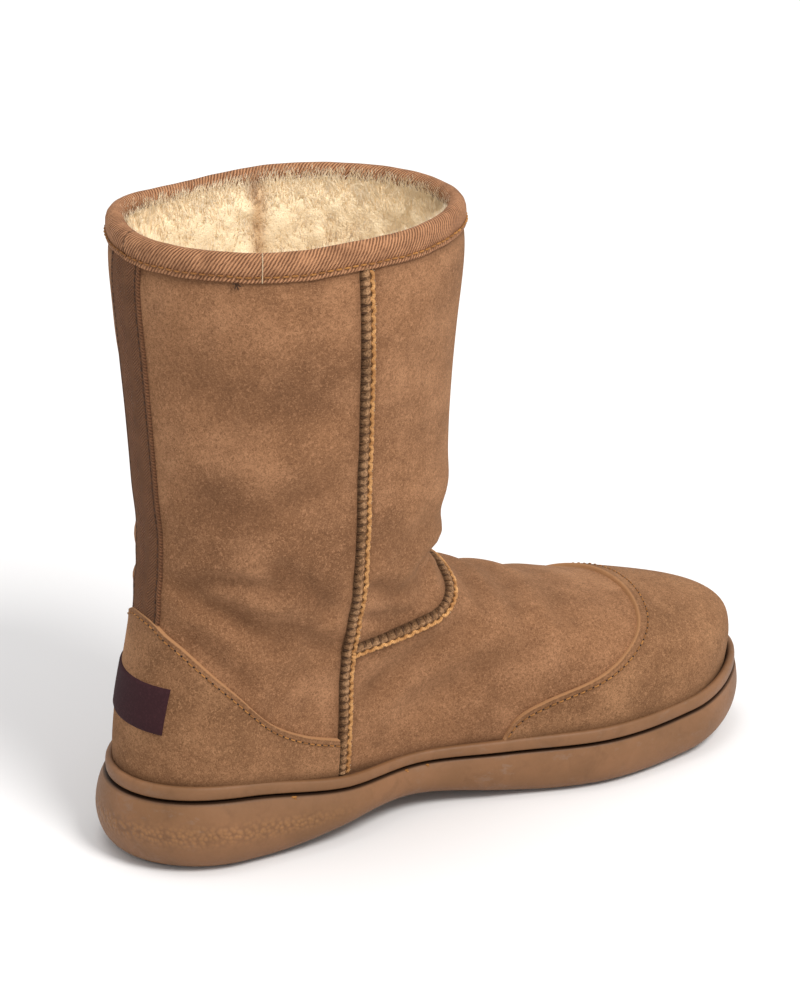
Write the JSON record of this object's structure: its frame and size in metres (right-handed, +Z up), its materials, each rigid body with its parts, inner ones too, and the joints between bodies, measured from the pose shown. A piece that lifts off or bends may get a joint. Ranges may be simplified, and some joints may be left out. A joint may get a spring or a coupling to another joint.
{
  "type": "sheepskin boot",
  "caption": "Short pull-on suede boot with a fleece lining, bound collar, raised whip-stitched seams, heel counter, toe cap and a gum sole with a lugged tread.",
  "frame": {"origin": "on the floor, under the middle of the boot's own box", "axes": "+X towards the toe, +Y towards the outer side of the foot, +Z up the shaft"},
  "size_m": [0.3, 0.1182, 0.26],
  "materials": {
    "gum_rubber": "matt tan gum rubber, lightly scuffed",
    "suede": "soft chestnut suede with a short nap",
    "twill_tape": "brown herringbone twill tape",
    "seam_thread": "golden tan whip-stitch thread",
    "fleece": "cream sheep's fleece",
    "woven_label": "plain dark woven label"
  },
  "bodies": {
    "root": {"outsole": "gum_rubber", "midsole": "gum_rubber", "insole": "fleece", "upper": "suede", "toe_cap": "suede", "heel_counter": "suede", "back_strip": "twill_tape", "side_seam_inner": "seam_thread", "side_seam_outer": "seam_thread", "ankle_seam": "seam_thread", "collar_binding": "twill_tape", "heel_label": "woven_label"}
  },
  "joints": []
}
